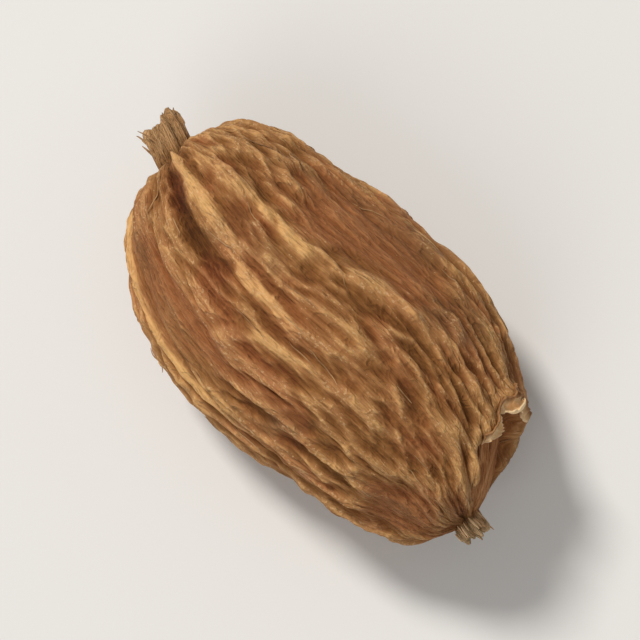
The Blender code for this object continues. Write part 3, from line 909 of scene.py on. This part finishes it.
def husk_patterns(n):
    """The noises, the mesh's own values and the net of veins, by name."""
    grain = n.vector("grain")
    seen = {name: n.noise(grain, pattern) for name, pattern in HUSK_PATTERNS.items()}
    seen.update({name: n.value(name) for name in HUSK_VALUES})
    seen.update({name: n.net(grain, *meshes) for name, meshes in VEINS.items()})
    seen["net"] = n.sum(seen, NET_SHARES)
    return seen


def husk_material():
    """Tan skin with redder and duller patches, paler at both ends; paler on its crests, partly worn
    fibre and partly painted highlight, and darker in its hollows and valley as painted shade.
    """
    n = Nodes("husk_skin")
    seen = husk_patterns(n)
    level = n.spread(n.sum(seen, LEVEL_SHARES), *LEVEL_RANGE)
    redness = n.spread(n.sum(seen, RED_SHARES), *RED_RANGE)
    colour = n.mix(redness, n.ramp(level, TAN), n.ramp(level, RED))
    dull = n.mix(DULL_SHARE, colour, DULL)
    colour = n.mix(n.spread(seen["smudges"], *SMUDGE_RANGE), colour, dull)
    colour = n.mix(seen["torn"], colour, n.ramp(n.sum(seen, INNER_SHARES), INNER))
    colour = n.mix(n.spread(seen["end"], *STALK_RANGE), colour, n.ramp(seen["strands"], STALK))
    colour = n.mix(n.spread(seen["tip"], *CALYX_RANGE), colour, n.ramp(seen["strands"], CALYX))
    colour = n.mix(SHADE_SHARE, colour, n.ramp(seen["hairs"], SHADE), "MULTIPLY")
    colour = n.mix(n.spread(n.sum(seen, DUST_SHARES), *DUST_RANGE), colour, DUST)
    coarse = n.bump(seen["strands"], *COARSE_BUMP)
    fine = n.bump(n.sum(seen, FINE_BUMP_SHARES), *FINE_BUMP, coarse)
    n.feed(n.shader.inputs["Base Color"], colour)
    n.feed(n.shader.inputs["Roughness"], n.spread(seen["crest"], *ROUGHNESS_RANGE))
    n.feed(n.shader.inputs["Normal"], n.bump(seen["net"], *NET_BUMP, fine))
    n.shader.inputs["Specular IOR Level"].default_value = HUSK_SPECULAR
    return n.material


def flap_material():
    """Dry skin seen at its torn edge: paler than the husk, with fibres across the tear."""
    n = Nodes("torn_flap")
    grain = n.vector("grain")
    seen = {name: n.noise(grain, pattern) for name, pattern in FLAP_PATTERNS.items()}
    seen["reach"] = n.value("reach")
    level = n.sum(seen, FLAP_SHARES)
    skin, torn = n.ramp(level, FLAP_SKIN), n.ramp(level, FLAP_TORN)
    paler = n.spread(seen["reach"], *FLAP_RANGE)
    n.feed(n.shader.inputs["Base Color"], n.mix(paler, skin, torn))
    n.feed(n.shader.inputs["Normal"], n.bump(seen["fibres"], *FLAP_BUMP))
    n.shader.inputs["Roughness"].default_value = FLAP_ROUGHNESS
    return n.material


def fibre_material(name, tones):
    n = Nodes(name)
    place = n.add("ShaderNodeNewGeometry", {}).outputs["Position"]
    n.feed(n.shader.inputs["Base Color"], n.ramp(n.noise(place, FIBRE_PATTERN), tones))
    n.shader.inputs["Roughness"].default_value = FIBRE_ROUGHNESS
    return n.material


def floor_material():
    n = Nodes("pale_floor")
    n.shader.inputs["Base Color"].default_value = FLOOR_COLOUR
    n.shader.inputs["Roughness"].default_value = FLOOR_ROUGHNESS
    return n.material


def build_floor():
    mesh = bpy.data.meshes.new("floor")
    corners = [(x * FLOOR_SIZE, y * FLOOR_SIZE, 0) for x, y in ((-1, -1), (1, -1), (1, 1), (-1, 1))]
    mesh.from_pydata(corners, [], [(0, 1, 2, 3)])
    mesh.materials.append(floor_material())
    floor = bpy.data.objects.new("floor", mesh)
    bpy.context.scene.collection.objects.link(floor)


def add_light(name, axes, toward, distance, size, power, colour):
    """A round lamp that looks at the pod, from a direction given along three axes."""
    light = bpy.data.lights.new(name, "AREA")
    light.shape, light.size, light.energy, light.color = "DISK", size, power, colour
    lamp = bpy.data.objects.new(name, light)
    direction = sum((axis * share for axis, share in zip(axes, toward)), Vector()).normalized()
    lamp.location = direction * distance
    lamp.rotation_mode = "QUATERNION"
    lamp.rotation_quaternion = (-direction).to_track_quat("-Z", "Y")
    bpy.context.scene.collection.objects.link(lamp)


def build_camera():
    camera = bpy.data.objects.new("camera", bpy.data.cameras.new("camera"))
    camera.data.lens, camera.data.sensor_width = LENS, SENSOR
    camera.data.clip_start, camera.data.clip_end = CLIP
    middle = (CAD_LOW + CAD_HIGH) / 2
    away = Vector((math.sin(VIEW_AZIMUTH) * math.cos(VIEW_ELEVATION),
                   -math.cos(VIEW_AZIMUTH) * math.cos(VIEW_ELEVATION), math.sin(VIEW_ELEVATION)))
    camera.location = middle + away * (FRAME_WIDTH * LENS / SENSOR)
    camera.rotation_mode = "QUATERNION"
    camera.rotation_quaternion = (-away).to_track_quat("-Z", "Y")
    bpy.context.scene.collection.objects.link(camera)
    bpy.context.scene.camera = camera


def build_lights():
    """Soft light from the upper left of the picture, a fill from the lower left, and a pale room."""
    picture_up = Vector((-math.sin(VIEW_AZIMUTH), math.cos(VIEW_AZIMUTH), 0))
    picture_right = Vector((math.cos(VIEW_AZIMUTH), math.sin(VIEW_AZIMUTH), 0))
    axes = (picture_up, picture_right, Vector((0, 0, 1)))
    add_light("key", axes, **KEY)
    add_light("fill", axes, **FILL)
    world = bpy.data.worlds.new("pale_room")
    world.use_nodes = True
    background = world.node_tree.nodes["Background"]
    background.inputs["Color"].default_value = ROOM_COLOUR
    background.inputs["Strength"].default_value = ROOM_STRENGTH
    bpy.context.scene.world = world
    bpy.context.scene.view_settings.view_transform = "Standard"


build_camera()
build_lights()
build_floor()
grid = husk_grid()
build_husk(grid, husk_material())
build_flap(grid, flap_material())
draw = random.Random(PIECE_SEED)
fibres = fibre_material("fibres", FIBRE_TONES)
pale_fibres = fibre_material("pale_fibres", PALE_FIBRE_TONES)
build_fibres("husk_fibres", husk_fibre_paths(grid, draw), fibres)
build_fibres("stub_fibres", splayed_paths(grid, draw, False), fibres)
build_fibres("calyx_fibres", splayed_paths(grid, draw, True), pale_fibres)
